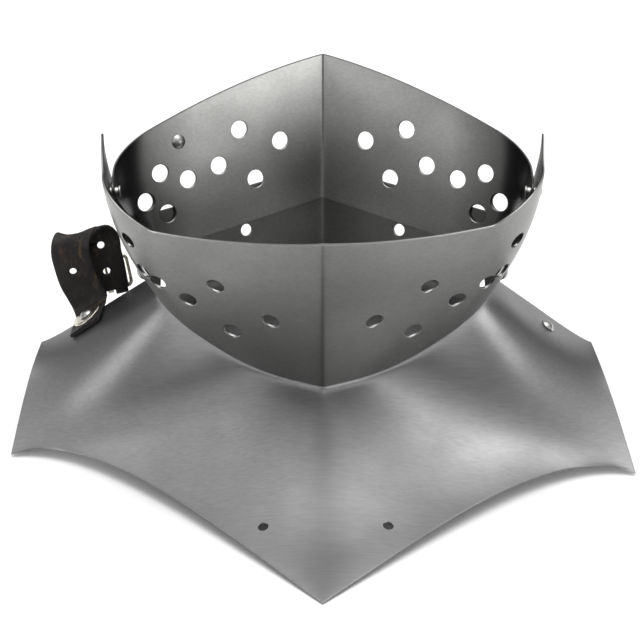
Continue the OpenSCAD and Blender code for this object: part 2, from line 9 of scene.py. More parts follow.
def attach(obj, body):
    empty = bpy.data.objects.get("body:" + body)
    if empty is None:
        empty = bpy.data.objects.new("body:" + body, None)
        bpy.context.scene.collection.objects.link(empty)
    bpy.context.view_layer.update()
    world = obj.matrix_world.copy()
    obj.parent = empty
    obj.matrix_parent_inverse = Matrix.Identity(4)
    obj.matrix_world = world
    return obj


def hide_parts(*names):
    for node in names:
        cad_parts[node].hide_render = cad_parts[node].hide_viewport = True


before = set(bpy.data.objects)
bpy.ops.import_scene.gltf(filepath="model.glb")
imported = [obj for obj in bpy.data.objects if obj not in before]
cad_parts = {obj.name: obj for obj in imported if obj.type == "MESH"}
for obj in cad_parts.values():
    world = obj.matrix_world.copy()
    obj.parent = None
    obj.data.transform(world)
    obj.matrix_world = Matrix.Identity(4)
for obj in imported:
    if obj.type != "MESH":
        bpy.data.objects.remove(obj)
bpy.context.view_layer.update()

MM = 0.001
# The shape is worked out in millimetres about the ears' line; this moves it to the frame's origin.
SHIFT = np.array([0.0, 21.0, 1.476])


def to_frame(points):
    return (np.asarray(points, float) + SHIFT) * MM


# ---------------------------------------------------------------- the shape of the plates
SHEET = 1.5
LAP_GAP = 0.4
EAR_GAP = 1.2
EAR_HALF_W = 118.8
EAR_Z = 178.0
RIM_Z = 168.0
FRONT_D = 96.0
REAR_D = 108.0
LEAN = math.radians(22)
FRONT_FALL = math.radians(22.8)
REAR_FALL = math.radians(30)
S_FACE = 0.5
S_CORNER = 0.8
CREASE_R = 1.1
# How much the side walls are dished, in 1/mm, and the height below which they run straight in.
DISH = 0.0036
DISH_FOOT_Z = 92.0


def unit(v):
    v = np.asarray(v, float)
    return v / np.linalg.norm(v)


def mix(a, b, t):
    return a + (b - a) * t


def clamp(v, low, high):
    return min(max(v, low), high)


def ease(v, k):
    return 1 - (1 - v) ** k


def curve(a, b, c, d, t):
    """A cubic from a to d, pulled by b and c."""
    return (1 - t) ** 3 * a + 3 * (1 - t) ** 2 * t * b + 3 * (1 - t) * t * t * c + t**3 * d


def half_w(z):
    """Half the collar's width at a height; the side wall is dished below the ears."""
    if z >= DISH_FOOT_Z:
        return EAR_HALF_W - DISH * (EAR_Z - z) ** 2
    return EAR_HALF_W - DISH * (EAR_Z - DISH_FOOT_Z) ** 2 - 0.5 * (DISH_FOOT_Z - z)


def plan_point(front, s, z, out, end_depth):
    """Plan of a pointed collar: a flat face from the crease (s 0), a round corner, a straight side (s 1)."""
    fall = FRONT_FALL if front else REAR_FALL
    h = half_w(z) + out
    crease = (FRONT_D if front else REAR_D) - (RIM_Z - z) * math.tan(LEAN) + out / math.cos(fall)
    a = 14 - (RIM_Z - z) * 0.06 if front else mix(12, 16, clamp((132 - z) / 16, 0, 1))
    dep = crease - a
    sn, cs = math.sin(fall), math.cos(fall)
    det = cs * cs - sn * (1 - sn)
    len_face = (h * cs - (1 - sn) * dep) / det
    r = (cs * dep - sn * h) / det
    if s <= S_FACE:
        t = s / S_FACE * len_face
        x, y = t * cs, crease - t * sn
        return x, y - math.tan(fall) * (math.hypot(x, CREASE_R) - x)
    if s <= S_CORNER:
        ang = fall + (math.pi / 2 - fall) * (s - S_FACE) / (S_CORNER - S_FACE)
        return h - r + r * math.sin(ang), a + r * math.cos(ang)
    return h, mix(a, end_depth, (s - S_CORNER) / (1 - S_CORNER))


def wall_point(front, s, z, out, end_depth):
    x, y = plan_point(front, abs(s), z, out, end_depth)
    return np.array([-x if s < 0 else x, -y if front else y, z])


def wall_normal(front, s, z, out, end_depth):
    e = 0.004
    a = wall_point(front, s + e, z, out, end_depth) - wall_point(front, s - e, z, out, end_depth)
    b = wall_point(front, s, z + 1, out, end_depth) - wall_point(front, s, z - 1, out, end_depth)
    n = unit(np.cross(a, b))
    return n if front else -n


def on_wall(front, s, z, out, end_depth=0):
    """A place on a plate's outer face and the normal there."""
    return wall_point(front, s, z, out, end_depth), wall_normal(front, s, z, out, end_depth)


def s_at(front, x, z, out, end_depth):
    """The s at which a plate reaches the distance x from the middle."""
    low, high = 0.0, 0.8
    for _ in range(30):
        middle = (low + high) / 2
        if plan_point(front, middle, z, out, end_depth)[0] < x:
            low = middle
        else:
            high = middle
    return (low + high) / 2


# Face plate
def face_foot(s):
    return min(51 + 41 * (plan_point(True, s, 80, 0, -10)[0] / 87) ** 3.2, 91)


def face_rim(s):
    if s <= S_FACE:
        return RIM_Z - 17 + 17 * (1 - s / S_FACE * 0.96) ** 2
    if s <= S_CORNER:
        return RIM_Z - 17 + 14 * (1 - (1 - (s - S_FACE) / (S_CORNER - S_FACE)) ** 1.8)
    return RIM_Z - 3 + 11 * ((s - S_CORNER) / (1 - S_CORNER)) ** 1.4


def face_grid_point(s, v):
    skew = 0.03 * np.sign(s) * plan_point(True, abs(s), RIM_Z, 0, -10)[0] * (1 - abs(s) ** 4)
    z = mix(face_foot(abs(s)), face_rim(abs(s)) + skew, v)
    end = -mix(14, 8, clamp((z - 142) / 30, 0, 1))
    return wall_point(True, s, z, 0, end)


# Rear upper plate
PIVOT_Y, PIVOT_Z = -2.0, 146.0
END_R = 5.5
REAR_OUT = -SHEET - EAR_GAP
COLLAR_OUT = REAR_OUT + LAP_GAP + SHEET


def rear_end(z):
    if z > PIVOT_Z:
        return PIVOT_Y - math.sqrt(max(END_R**2 - (z - PIVOT_Z) ** 2, 0))
    return mix(14, PIVOT_Y - END_R, clamp((z - 116) / (PIVOT_Z - 116), 0, 1))


def rear_grid_point(s, v):
    foot = 97.4 - 0.04 * plan_point(False, abs(s), 97, REAR_OUT, 0)[0]
    x = plan_point(False, abs(s), 160, REAR_OUT, 0)[0]
    at_end = clamp((abs(s) - S_CORNER) / (1 - S_CORNER), 0, 1)
    z = mix(foot, mix(171.5 - 0.0016 * x * x, PIVOT_Z + END_R - 0.02, at_end), v)
    return wall_point(False, s, z, REAR_OUT, rear_end(z))


# Rear collar plate with its skirt
COLLAR_BEND_Z, COLLAR_TOP_Z, COLLAR_END_S = 68.0, 113.5, 0.75
SKIRT_SPAN = 0.6


def skirt_edge(s):
    if s <= 0.45:
        t = s / 0.45
        return np.array([curve(0, 0.4, 0.8, 1, t) * 92, 138 - curve(0, 0.6, 1.05, 1, t) * 36, 0])
    t = (s - 0.45) / (COLLAR_END_S - 0.45)
    return np.array([mix(92, 99, t), mix(102, 40, t), 38 * t])


def collar_grid_point(s, v):
    """v runs from the skirt's edge (0) over the bend to the collar's top edge (1)."""
    if v >= SKIRT_SPAN:
        z = mix(COLLAR_BEND_Z, COLLAR_TOP_Z, (v - SKIRT_SPAN) / (1 - SKIRT_SPAN))
        return wall_point(False, s, z, COLLAR_OUT, 0)
    w = 1 - v / SKIRT_SPAN
    b = wall_point(False, s, COLLAR_BEND_Z, COLLAR_OUT, 0)
    e = skirt_edge(abs(s))
    x = mix(b[0], -e[0] if s < 0 else e[0], w)
    return np.array([x, mix(b[1], e[1], w), mix(b[2], e[2], ease(w, 1.3))])


# Front bib
BIB_OUT = -SHEET - LAP_GAP
BIB_SPAN = 0.8


def bib_edge(s):
    if s <= 0.45:
        t = s / 0.45
        return np.array([curve(0, 0.47, 0.765, 1, t) * 170, -180 + curve(0, 0.657, 1.082, 1, t) * 134,
                         8 * math.sin(math.pi * t)])
    t = (s - 0.45) / 0.55
    return np.array([mix(170, 152, t), mix(-46, 16, t), 40 * (t + 0.08 * math.sin(math.pi * t))])


def bib_point(s, v):
    b = wall_point(True, s, face_foot(abs(s)) - 2.5, BIB_OUT, -12)
    e = bib_edge(abs(s))
    past = clamp((abs(s) - 0.45) / 0.55, 0, 1)
    x = mix(b[0], (-e[0] if s < 0 else e[0]) - 3.5 * past, v)
    skew = 0.055 * x * v * (1 - past * past)
    p = np.array([x, mix(b[1], e[1], v) - skew, mix(b[2], e[2], ease(v, 1.3))])
    over = clamp((abs(s) - 0.8) / 0.2, 0, 1) ** 2
    p += over * ((1 - (1 - v) ** 3) * np.array([0, 17.0, -10.0]))
    p[2] += over * 3.4 * math.sin(math.pi * v)
    return p


def bib_normal(s, v):
    e = 0.01
    across = bib_point(s + e, v) - bib_point(s - e, v)
    inward = bib_point(s, v - e) - bib_point(s, v + e)
    return unit(np.cross(across, inward))


def bib_grid_point(s, v):
    """v runs from the bib's edge (0) over the bend to the top of its collar (1)."""
    if v >= BIB_SPAN:
        z = face_foot(abs(s)) - 2.5 + 20 * (v - BIB_SPAN) / (1 - BIB_SPAN)
        return wall_point(True, s, z, BIB_OUT, -12)
    return bib_point(s, 1 - v / BIB_SPAN)


# ---------------------------------------------------------------- mesh helpers
def new_object(name, verts, faces, material, body):
    mesh = bpy.data.meshes.new(name)
    mesh.from_pydata([tuple(v) for v in verts], [], faces)
    mesh.validate()
    mesh.polygons.foreach_set("use_smooth", [True] * len(mesh.polygons))
    obj = bpy.data.objects.new(name, mesh)
    bpy.context.scene.collection.objects.link(obj)
    obj.data.materials.append(material)
    if body:
        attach(obj, body)
    return obj


def basis(n, hint=(0, 0, 1)):
    """Two directions square to n."""
    n = unit(n)
    if abs(np.dot(n, hint)) > 0.95:
        hint = (1, 0, 0)
    a = unit(np.cross(hint, n))
    return a, np.cross(n, a)


def lathe(profile, p, n, turns=40, wobble=0.0):
    """Vertices and faces of a profile [(radius, height)] turned about n at p; ends at radius 0 close up."""
    a, b = basis(n)
    n = unit(n)
    verts, faces, rings = [], [], []
    for r, h in profile:
        if r <= 1e-6:
            rings.append([len(verts)])
            verts.append(np.asarray(p) + n * h)
            continue
        ring = []
        for k in range(turns):
            t = 2 * math.pi * k / turns
            d = a * math.cos(t) + b * math.sin(t)
            q = np.asarray(p) + d * r + n * h
            if wobble:
                q = q + (n + d) * wobble * noise.noise(Vector(q) * 0.9)
            ring.append(len(verts))
            verts.append(q)
        rings.append(ring)
    for low, high in zip(rings, rings[1:]):
        for k in range(turns):
            m = (k + 1) % turns
            if len(low) == 1 and len(high) > 1:
                faces.append((low[0], high[m], high[k]))
            elif len(high) == 1 and len(low) > 1:
                faces.append((low[k], low[m], high[0]))
            elif len(low) > 1:
                faces.append((low[k], low[m], high[m], high[k]))
    return verts, faces


def joined(parts):
    verts, faces = [], []
    for v, f in parts:
        base = len(verts)
        verts.extend(v)
        faces.extend(tuple(i + base for i in face) for face in f)
    return verts, faces


def turned_right_way(obj):
    bm = bmesh.new()
    bm.from_mesh(obj.data)
    bmesh.ops.recalc_face_normals(bm, faces=bm.faces)
    bm.to_mesh(obj.data)
    bm.free()


def cut(obj, parts):
    """Cuts a joined set of closed solids out of obj."""
    verts, faces = joined(parts)
    tool = new_object(obj.name + "_cutter", to_frame(verts), faces, obj.data.materials[0], None)
    turned_right_way(tool)
    modifier = obj.modifiers.new("cut", "BOOLEAN")
    modifier.operation = "DIFFERENCE"
    modifier.solver = "EXACT"
    modifier.use_self = True
    modifier.object = tool
    graph = bpy.context.evaluated_depsgraph_get()
    mesh = bpy.data.meshes.new_from_object(obj.evaluated_get(graph))
    obj.modifiers.clear()
    old = obj.data
    obj.data = mesh
    bpy.data.meshes.remove(old)
    bpy.data.objects.remove(tool, do_unlink=True)


def hole(p, n, d, chamfer=0.3, turns=48, depth=SHEET):
    """A cutter for a drilled hole with its edges eased; p lies on the outer face."""
    r, far = d / 2, 1.4
    profile = [(0, far), (r + chamfer + far, far), (r, -chamfer), (r, chamfer - depth),
               (r + chamfer + far, -depth - far), (0, -depth - far)]
    return lathe(profile, p, n, turns)


# Rounded rim of a sheet, as (along the sheet, below its face).
RIM_R = 0.5
RIM_PROFILE = [
    (-RIM_R, 0), (-0.15, -0.15), (0, -RIM_R),
    (0, RIM_R - SHEET), (-0.15, 0.15 - SHEET), (-RIM_R, -SHEET),
]
WAVE = 0.16


def waved(p, n, seed):
    """A plate is never quite true: a slow wave over its face."""
    q = Vector(p) * 0.021 + Vector((seed, 1.7 * seed, 0.3))
    return p + n * WAVE * (noise.noise(q) + 0.5 * noise.noise(q * 2.3))


def crease_columns(n, end):
    """s values over both sides, closer together at the crease."""
    start = 0.015
    side = [0.0015, 0.003, 0.0055, 0.009] + [start + (end - start) * (k / n) for k in range(n + 1)]
    return [-s for s in reversed(side)] + [0.0] + side


def softened(grid, row, reach, rounds):
    """Rounds the bend along one row of a grid of columns."""
    for _ in range(rounds):
        low, high = row - reach, row + reach + 1
        middle = grid[:, low:high]
        grid[:, low:high] = 0.5 * middle + 0.25 * (grid[:, low - 1:high - 1] + grid[:, low + 1:high + 1])


def dressed_round(grid, values, bend_row, rounds):
    """Relaxes the middle of the bib between its edge and its bend, so that no ridge or valley shows."""
    share = np.array([0.5 * clamp((0.9 - abs(s)) / 0.25, 0, 1) for s in values])[1:-1, None, None]
    for _ in range(rounds):
        inner = grid[1:-1, 1:bend_row]
        near = grid[:-2, 1:bend_row] + grid[2:, 1:bend_row]
        near = near + grid[1:-1, :bend_row - 1] + grid[1:-1, 2:bend_row + 1]
        grid[1:-1, 1:bend_row] = inner + share * (near / 4 - inner)


def onto(grid, p):
    """The place and normal of a grid's surface at a point near it."""
    i, j = np.unravel_index(np.argmin(np.linalg.norm(grid - p, axis=2)), grid.shape[:2])
    n = grid_normals(grid[i - 1:i + 2, j - 1:j + 2])[1, 1]
    return p + n * np.dot(grid[i, j] - p, n), n


def grid_normals(grid):
    du = np.gradient(grid, axis=0)
    dv = np.gradient(grid, axis=1)
    n = np.cross(du, dv)
    return n / np.linalg.norm(n, axis=2, keepdims=True)


def plate(name, node, body, grid, material, cutters, seed):
    """A sheet with a rounded rim, made from a grid of points on its outer face, with its holes cut."""
    nu, nv = grid.shape[:2]
    normals = grid_normals(grid)
    for i in range(nu):
        for j in range(nv):
            grid[i, j] = waved(grid[i, j], normals[i, j], seed)
    normals = grid_normals(grid)
    loop = [(i, 0) for i in range(nu - 1)] + [(nu - 1, j) for j in range(nv - 1)]
    loop += [(i, nv - 1) for i in range(nu - 1, 0, -1)] + [(0, j) for j in range(nv - 1, 0, -1)]
    outward = {}
    for k, (i, j) in enumerate(loop):
        before, after = loop[k - 1], loop[(k + 1) % len(loop)]
        along = unit(grid[after] - grid[before])
        t = unit(np.cross(along, normals[i, j]))
        inside = grid[clamp(i, 1, nu - 2), clamp(j, 1, nv - 2)]
        outward[(i, j)] = t if np.dot(t, grid[i, j] - inside) > 0 else -t
    outer = grid.copy()
    for key, t in outward.items():
        outer[key] = grid[key] - t * RIM_R
    inner = outer - normals * SHEET
    verts = list(outer.reshape(-1, 3)) + list(inner.reshape(-1, 3))
    far = nu * nv
    faces = []
    for i in range(nu - 1):
        for j in range(nv - 1):
            a = i * nv + j
            faces.append((a, a + nv, a + nv + 1, a + 1))
            faces.append((far + a, far + a + 1, far + a + nv + 1, far + a + nv))
    rings = []
    for step, (along, below) in enumerate(RIM_PROFILE):
        ring = []
        for key in loop:
            at = key[0] * nv + key[1]
            if step == 0:
                ring.append(at)
            elif step == len(RIM_PROFILE) - 1:
                ring.append(far + at)
            else:
                ring.append(len(verts))
                verts.append(grid[key] + outward[key] * along + normals[key] * below)
        rings.append(ring)
    for high, low in zip(rings, rings[1:]):
        for k in range(len(loop)):
            m = (k + 1) % len(loop)
            faces.append((high[k], low[k], low[m], high[m]))
    obj = new_object(name, to_frame(verts), faces, material, body)
    turned_right_way(obj)
    cut(obj, cutters)
    smooth_from(obj, to_frame(outer.reshape(-1, 3)).reshape(nu, nv, 3), normals)
    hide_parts(node)


def smooth_from(obj, outer, normals):
    """Gives a cut sheet the normals that its face had before it was cut."""
    nu, nv = outer.shape[:2]
    points = [Vector(p) for p in outer.reshape(-1, 3)]
    directions = [Vector(n) for n in normals.reshape(-1, 3)]
    triangles = []
    for i in range(nu - 1):
        for j in range(nv - 1):
            a = i * nv + j
            triangles.append((a, a + nv, a + nv + 1))
            triangles.append((a, a + nv + 1, a + 1))
    tree = bvhtree.BVHTree.FromPolygons(points, triangles)
    mesh = obj.data
    mesh.polygons.foreach_set("use_smooth", [True] * len(mesh.polygons))
    mesh.set_sharp_from_angle(angle=math.radians(32))
    at_vertex = []
    for v in mesh.vertices:
        spot, _, index, _ = tree.find_nearest(v.co)
        corners = triangles[index]
        weights = interpolate.poly_3d_calc([points[c] for c in corners], spot)
        n = Vector((0, 0, 0))
        for w, c in zip(weights, corners):
            n += w * directions[c]
        at_vertex.append(n.normalized())
    loops = [(0.0, 0.0, 0.0)] * len(mesh.loops)
    for poly in mesh.polygons:
        for k in poly.loop_indices:
            n = at_vertex[mesh.loops[k].vertex_index]
            lean = poly.normal.dot(n)
            if abs(lean) > 0.97:
                loops[k] = tuple(n if lean > 0 else -n)
    mesh.normals_split_custom_set(loops)


# ---------------------------------------------------------------- materials
def nodes_of(name):
    material = bpy.data.materials.new(name)
    material.use_nodes = True
    tree = material.node_tree
    return material, tree, tree.nodes["Principled BSDF"]


def link(tree, a, b):
    tree.links.new(a, b)


def textured(tree, kind, scale, stretch=(1, 1, 1), **values):
    """A texture node on stretched object coordinates."""
    coord = tree.nodes.new("ShaderNodeTexCoord")
    mapping = tree.nodes.new("ShaderNodeMapping")
    mapping.inputs["Scale"].default_value = stretch
    texture = tree.nodes.new(kind)
    texture.inputs["Scale"].default_value = scale
    for key, value in values.items():
        texture.inputs[key].default_value = value
    link(tree, coord.outputs["Object"], mapping.inputs["Vector"])
    link(tree, mapping.outputs["Vector"], texture.inputs["Vector"])
    return texture


def ramp(tree, source, stops):
    """A colour ramp; stops are (position, grey or colour)."""
    node = tree.nodes.new("ShaderNodeValToRGB")
    elements = node.color_ramp.elements
    while len(elements) < len(stops):
        elements.new(0.5)
    for element, (position, value) in zip(elements, stops):
        element.position = position
        colour = (value, value, value) if isinstance(value, (int, float)) else value
        element.color = (*colour, 1)
    link(tree, source, node.inputs["Fac"])
    return node.outputs["Color"]


def blended(tree, kind, factor, a, b):
    """Colour mix; a and b are sockets or colours, factor a socket or number."""
    node = tree.nodes.new("ShaderNodeMix")
    node.data_type = "RGBA"
    node.blend_type = kind
    sockets = [s for s in node.inputs if s.enabled]
    for socket, value in zip(sockets, (factor, a, b)):
        if isinstance(value, bpy.types.NodeSocket):
            link(tree, value, socket)
        elif isinstance(value, (int, float)):
            socket.default_value = value
        else:
            socket.default_value = (*value, 1)
    return [s for s in node.outputs if s.enabled][0]


def bump(tree, height, distance, strength, after=None):
    node = tree.nodes.new("ShaderNodeBump")
    node.inputs["Distance"].default_value = distance
    node.inputs["Strength"].default_value = strength
    link(tree, height, node.inputs["Height"])
    if after:
        link(tree, after, node.inputs["Normal"])
    return node.outputs["Normal"]


def paint_shade_inside(tree, colour):
    """Paints shade onto the inner faces: darker towards the ears and low down, where the inside lies in
    shade.
    """
    coord = tree.nodes.new("ShaderNodeTexCoord")
    flat = tree.nodes.new("ShaderNodeVectorMath")
    flat.operation = "MULTIPLY"
    flat.inputs[1].default_value = (1, 1, 0)
    link(tree, coord.outputs["Object"], flat.inputs[0])
    facing = tree.nodes.new("ShaderNodeVectorMath")
    facing.operation = "DOT_PRODUCT"
    link(tree, flat.outputs["Vector"], facing.inputs[0])
    link(tree, coord.outputs["Normal"], facing.inputs[1])
    inside = tree.nodes.new("ShaderNodeMath")
    inside.operation = "LESS_THAN"
    inside.inputs[1].default_value = 0.0
    link(tree, facing.outputs["Value"], inside.inputs[0])
    split = tree.nodes.new("ShaderNodeSeparateXYZ")
    link(tree, coord.outputs["Object"], split.inputs["Vector"])
    away = tree.nodes.new("ShaderNodeMath")
    away.operation = "ABSOLUTE"
    link(tree, split.outputs["X"], away.inputs[0])
    near_ears = ramp(tree, away.outputs["Value"], [(0.070, 0.0), (0.104, 1.0)])
    low_down = ramp(tree, split.outputs["Z"], [(0.050, 1.0), (0.078, 0.0)])
    either = blended(tree, "LIGHTEN", 1.0, near_ears, low_down)
    amount = blended(tree, "MULTIPLY", 1.0, either, inside.outputs["Value"])
    # The painted shade colour, near-black steel.
    return blended(tree, "MIX", amount, colour, (0.03, 0.03, 0.03))


def steel(name, grey, rough, brush=0.35, shade_inside=False):
    material, tree, shader = nodes_of(name)
    slow = textured(tree, "ShaderNodeTexNoise", 16, Detail=4.0, Roughness=0.55)
    fine = textured(tree, "ShaderNodeTexNoise", 900, (0.05, 1, 1), Detail=3.0)
    grain = textured(tree, "ShaderNodeTexNoise", 2600, Detail=2.0)
    specks = textured(tree, "ShaderNodeTexVoronoi", 75)
    low, high = [tuple(c * f for c in grey) for f in (0.88, 1.09)]
    colour = ramp(tree, slow.outputs["Fac"], [(0.3, low), (0.7, high)])
    streak = ramp(tree, fine.outputs["Fac"], [(0.3, 0.86), (0.7, 1.0)])
    colour = blended(tree, "MULTIPLY", 1.0, colour, streak)
    pits = ramp(tree, specks.outputs["Distance"], [(0.0, 0.45), (0.035, 1.0)])
    colour = blended(tree, "MULTIPLY", 0.5, colour, pits)
    # Painted shade: the inner faces go near-black towards the ears and low down.
    if shade_inside:
        colour = paint_shade_inside(tree, colour)
    link(tree, colour, shader.inputs["Base Color"])
    shader.inputs["Metallic"].default_value = 1.0
    roughness = ramp(tree, slow.outputs["Fac"], [(0.25, rough + 0.07), (0.75, rough - 0.05)])
    link(tree, roughness, shader.inputs["Roughness"])
    normal = bump(tree, fine.outputs["Fac"], 0.00004, brush)
    normal = bump(tree, grain.outputs["Fac"], 0.00002, 0.25, normal)
    link(tree, normal, shader.inputs["Normal"])
    return material


def leather(name):
    material, tree, shader = nodes_of(name)
    grain = textured(tree, "ShaderNodeTexVoronoi", 1500)
    crumple = textured(tree, "ShaderNodeTexNoise", 130, Detail=8.0, Roughness=0.65)
    patches = textured(tree, "ShaderNodeTexNoise", 42, Detail=6.0, Roughness=0.7)
    rubs = textured(tree, "ShaderNodeTexNoise", 260, (1.0, 1.0, 0.22), Detail=5.0, Roughness=0.8)
    hide = [(0.3, (0.006, 0.005, 0.005)), (0.75, (0.016, 0.013, 0.012))]
    base = ramp(tree, crumple.outputs["Fac"], hide)
    worn = ramp(tree, rubs.outputs["Fac"], [(0.52, 0.0), (0.72, 1.0)])
    where = ramp(tree, patches.outputs["Fac"], [(0.47, 0.0), (0.62, 0.85)])
    amount = blended(tree, "MULTIPLY", 1.0, worn, where)
    colour = blended(tree, "MIX", amount, base, (0.13, 0.082, 0.047))
    link(tree, colour, shader.inputs["Base Color"])
    roughness = ramp(tree, patches.outputs["Fac"], [(0.3, 0.42), (0.7, 0.68)])
    link(tree, roughness, shader.inputs["Roughness"])
    shader.inputs["Specular IOR Level"].default_value = 0.3
    normal = bump(tree, crumple.outputs["Fac"], 0.0006, 0.5)
    normal = bump(tree, grain.outputs["Distance"], 0.0003, 0.35, normal)
    link(tree, normal, shader.inputs["Normal"])
    return material


def nickel(name):
    material, tree, shader = nodes_of(name)
    slow = textured(tree, "ShaderNodeTexNoise", 220, Detail=4.0)
    fine = textured(tree, "ShaderNodeTexNoise", 2400, (1, 1, 0.2), Detail=3.0)
    colour = ramp(tree, slow.outputs["Fac"], [(0.3, (0.50, 0.46, 0.39)), (0.7, (0.78, 0.74, 0.66))])
    link(tree, colour, shader.inputs["Base Color"])
    shader.inputs["Metallic"].default_value = 1.0
    roughness = ramp(tree, fine.outputs["Fac"], [(0.3, 0.16), (0.7, 0.32)])
    link(tree, roughness, shader.inputs["Roughness"])
    link(tree, bump(tree, fine.outputs["Fac"], 0.00003, 0.3), shader.inputs["Normal"])
    return material


def floor_paint(name):
    material, tree, shader = nodes_of(name)
    slow = textured(tree, "ShaderNodeTexNoise", 3, Detail=2.0)
    colour = ramp(tree, slow.outputs["Fac"], [(0.0, 0.90), (1.0, 0.93)])
    link(tree, colour, shader.inputs["Base Color"])
    shader.inputs["Roughness"].default_value = 0.9
    shader.inputs["Specular IOR Level"].default_value = 0.1
    return material


PLATE_STEEL = steel("satin_steel", (0.25, 0.25, 0.253), 0.36)
# The two steels below paint shade on their inner faces, darker towards the ears and low down.
INSIDE_SHADED_STEEL = steel("steel_painted_shade_inside", (0.25, 0.25, 0.243), 0.32, shade_inside=True)
# Painted shade: the rear collar plate's steel is a darker grey than the other plates', standing in for the
# shade below the lap so that the lap shows.
SHADED_COLLAR_STEEL = steel("collar_steel", (0.16, 0.16, 0.155), 0.34, shade_inside=True)
RIVET_STEEL = steel("rivet_steel", (0.42, 0.42, 0.41), 0.30, 0.2)
LEATHER = leather("worn_leather")
NICKEL = nickel("aged_nickel")


# ---------------------------------------------------------------- fasteners
SHANK_R = 2.0
HEAD_R = 4.0
HEAD_H = 2.3
SEAT_GAP = 0.05
BURR_R = 3.2
BURR_T = 1.1
BURR_GAP = 0.25
LAP_GRIP = 2 * SHEET + LAP_GAP
WASHER_T = 1.0
BORE_R = SHANK_R + 0.05
PIN_R = 2.5
# Hammering leaves no head quite round.
HEAD_WOBBLE = 0.03


def dome_profile(r, h, foot):
    """A flattened dome with a small edge, from its foot to its top."""
    big = (r * r + h * h) / (2 * h)
    points = [(r - 0.25, foot), (r, foot + 0.22)]
    top = math.asin(min(r / big, 1))
    for k in range(1, 11):
        a = top * (1 - k / 10)
        points.append((max(big * math.sin(a), 0.0), foot + h - big + big * math.cos(a)))
    points[2] = (min(points[2][0], r - 0.05), max(points[2][1], foot + 0.45))
    points[-1] = (0.0, foot + h)
    return points


def rivet_parts(p, n, grip):
    """A domed rivet through a stack of plates, its tail peened over a burr."""
    tail = -grip - BURR_GAP - BURR_T
    profile = [(0, tail - 0.38), (1.2, tail - 0.34), (SHANK_R, tail - 0.1), (SHANK_R, SEAT_GAP)]
    profile += dome_profile(HEAD_R, HEAD_H, SEAT_GAP)
    return lathe(profile, p, n, 40, HEAD_WOBBLE)


def burr_parts(p, n):
    profile = [(BORE_R, 0), (BURR_R - 0.2, 0), (BURR_R, -0.2), (BURR_R, 0.2 - BURR_T),
               (BURR_R - 0.2, -BURR_T), (BORE_R, -BURR_T), (BORE_R, 0)]
    return lathe(profile, p, n, 32)


def washer_parts(p, n, r, thick):
    """A stamped washer, slightly dished, its edge rolled."""
    profile = [(BORE_R, 0.05), (r - 0.3, 0), (r, 0.25), (r, thick - 0.3), (r - 0.3, thick),
               (r * 0.7, thick - 0.12), (HEAD_R, thick - 0.05), (BORE_R, thick), (BORE_R, 0.05)]
    return lathe(profile, p, n, 64)


def fitting(name, parts, material, body, node):
    verts, faces = joined(parts)
    obj = new_object(name, to_frame(verts), faces, material, body)
    turned_right_way(obj)
    obj.data.set_sharp_from_angle(angle=math.radians(50))
    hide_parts(node)


def side_rivet(side):
    z = 101.0
    return np.array([side * half_w(z), -12.0, z]), unit([side, 0, -2 * DISH * (EAR_Z - z)])


def rear_joint(side):
    return on_wall(False, side * 0.7, 105.0, COLLAR_OUT)


REAR_STUD_S = -s_at(False, 78.6, 147, REAR_OUT - SHEET, 0)
REAR_STUD = on_wall(False, REAR_STUD_S, 147, REAR_OUT)
SHOULDER = (bib_point(0.94, 0.56), bib_normal(0.94, 0.56))
STRAP_S, STRAP_V = -0.975, 0.58
STRAP_P = bib_point(STRAP_S, STRAP_V)
STRAP_N = bib_normal(STRAP_S, STRAP_V)
BILLET_S, BILLET_Z = 0.66, 88.0
BILLET_END_S, BILLET_END_Z = 0.36, 80.0
BILLET_W = 16.0
BILLET_GAP = 0.6
BILLET_BURR_GAP = 0.6
BILLET = on_wall(False, -BILLET_S, BILLET_Z, COLLAR_OUT)


def make_pairs(name, spots, grip, body, node_rivets, node_burrs):
    rivets = [rivet_parts(p, n, grip) for p, n in spots]
    fitting(name + "_rivet", rivets, RIVET_STEEL, body, node_rivets)
    burrs = [burr_parts(p - n * (grip + BURR_GAP), n) for p, n in spots]
    fitting(name + "_burr", burrs, RIVET_STEEL, body, node_burrs)


def make_ear_pivot(name, side, head_r, head_h, node):
    """The pin that the rear half turns on: a head outside the ear and a foot inside both."""
    ear_x = half_w(PIVOT_Z)
    inner_x = ear_x + REAR_OUT - SHEET - 1.1
    tilt = math.atan(2 * DISH * (EAR_Z - PIVOT_Z))
    axis = np.array([side, 0, 0])
    head_n = np.array([side * math.cos(tilt), 0, -math.sin(tilt)])
    reach = ear_x - inner_x + 0.6
    shank = [(0, -1.3), (2.9, -1.3), (3.3, -1.0), (3.3, -0.3), (3.1, 0),
             (PIN_R, 0), (PIN_R, reach), (0, reach)]
    parts = [
        lathe(shank, np.array([side * inner_x, PIVOT_Y, PIVOT_Z]), axis, 40),
        lathe([(0, SEAT_GAP)] + dome_profile(head_r, head_h, SEAT_GAP),
              np.array([side * ear_x, PIVOT_Y, PIVOT_Z]), head_n, 40, HEAD_WOBBLE),
    ]
    fitting(name, parts, RIVET_STEEL, "front_half", node)


